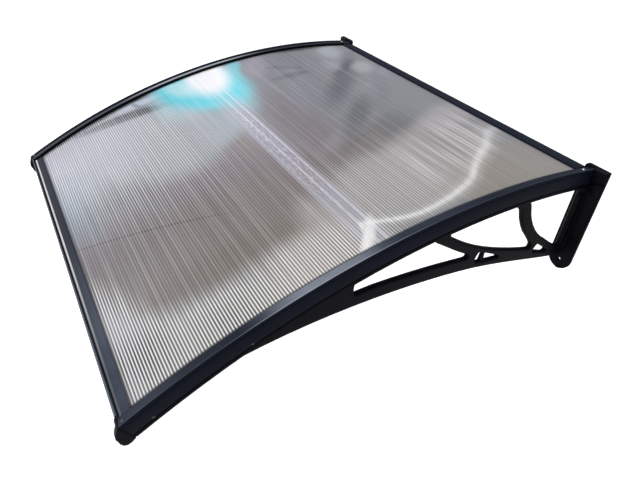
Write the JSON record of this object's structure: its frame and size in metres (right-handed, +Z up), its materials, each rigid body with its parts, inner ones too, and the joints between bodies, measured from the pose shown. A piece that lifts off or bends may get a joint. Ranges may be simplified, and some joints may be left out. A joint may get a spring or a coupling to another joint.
{
  "type": "door canopy",
  "caption": "Curved twin-wall polycarbonate door canopy in a slate aluminium frame on two black moulded wall brackets.",
  "frame": {"origin": "centre of the wall seal's back face, in the plane of the wall", "axes": "+Y into the wall, canopy reaching forward to -Y, +X along the wall to the canopy's left as it hangs, +Z up"},
  "size_m": [1.023, 1.0013, 0.3117],
  "materials": {
    "polycarbonate_sheet": "clear twin-wall sheet with fine flutes, satin sheen",
    "coated_aluminium": "slate grey satin coating on extruded aluminium",
    "moulded_nylon": "black moulded plastic, low sheen",
    "black_rubber": "matt black rubber",
    "plated_steel": "bright zinc plating"
  },
  "bodies": {
    "root": {"sheet": "polycarbonate_sheet", "rear_bar": "coated_aluminium", "front_bar": "coated_aluminium", "wall_seal": "black_rubber", "side_trim_left": "coated_aluminium", "bracket_left": "moulded_nylon", "end_cap_left": "moulded_nylon", "rear_screw_left": "plated_steel", "front_screw_left": "plated_steel", "side_screw_a_left": "plated_steel", "side_screw_b_left": "plated_steel", "side_trim_right": "coated_aluminium", "bracket_right": "moulded_nylon", "end_cap_right": "moulded_nylon", "rear_screw_right": "plated_steel", "front_screw_right": "plated_steel", "side_screw_a_right": "plated_steel", "side_screw_b_right": "plated_steel"}
  },
  "joints": []
}
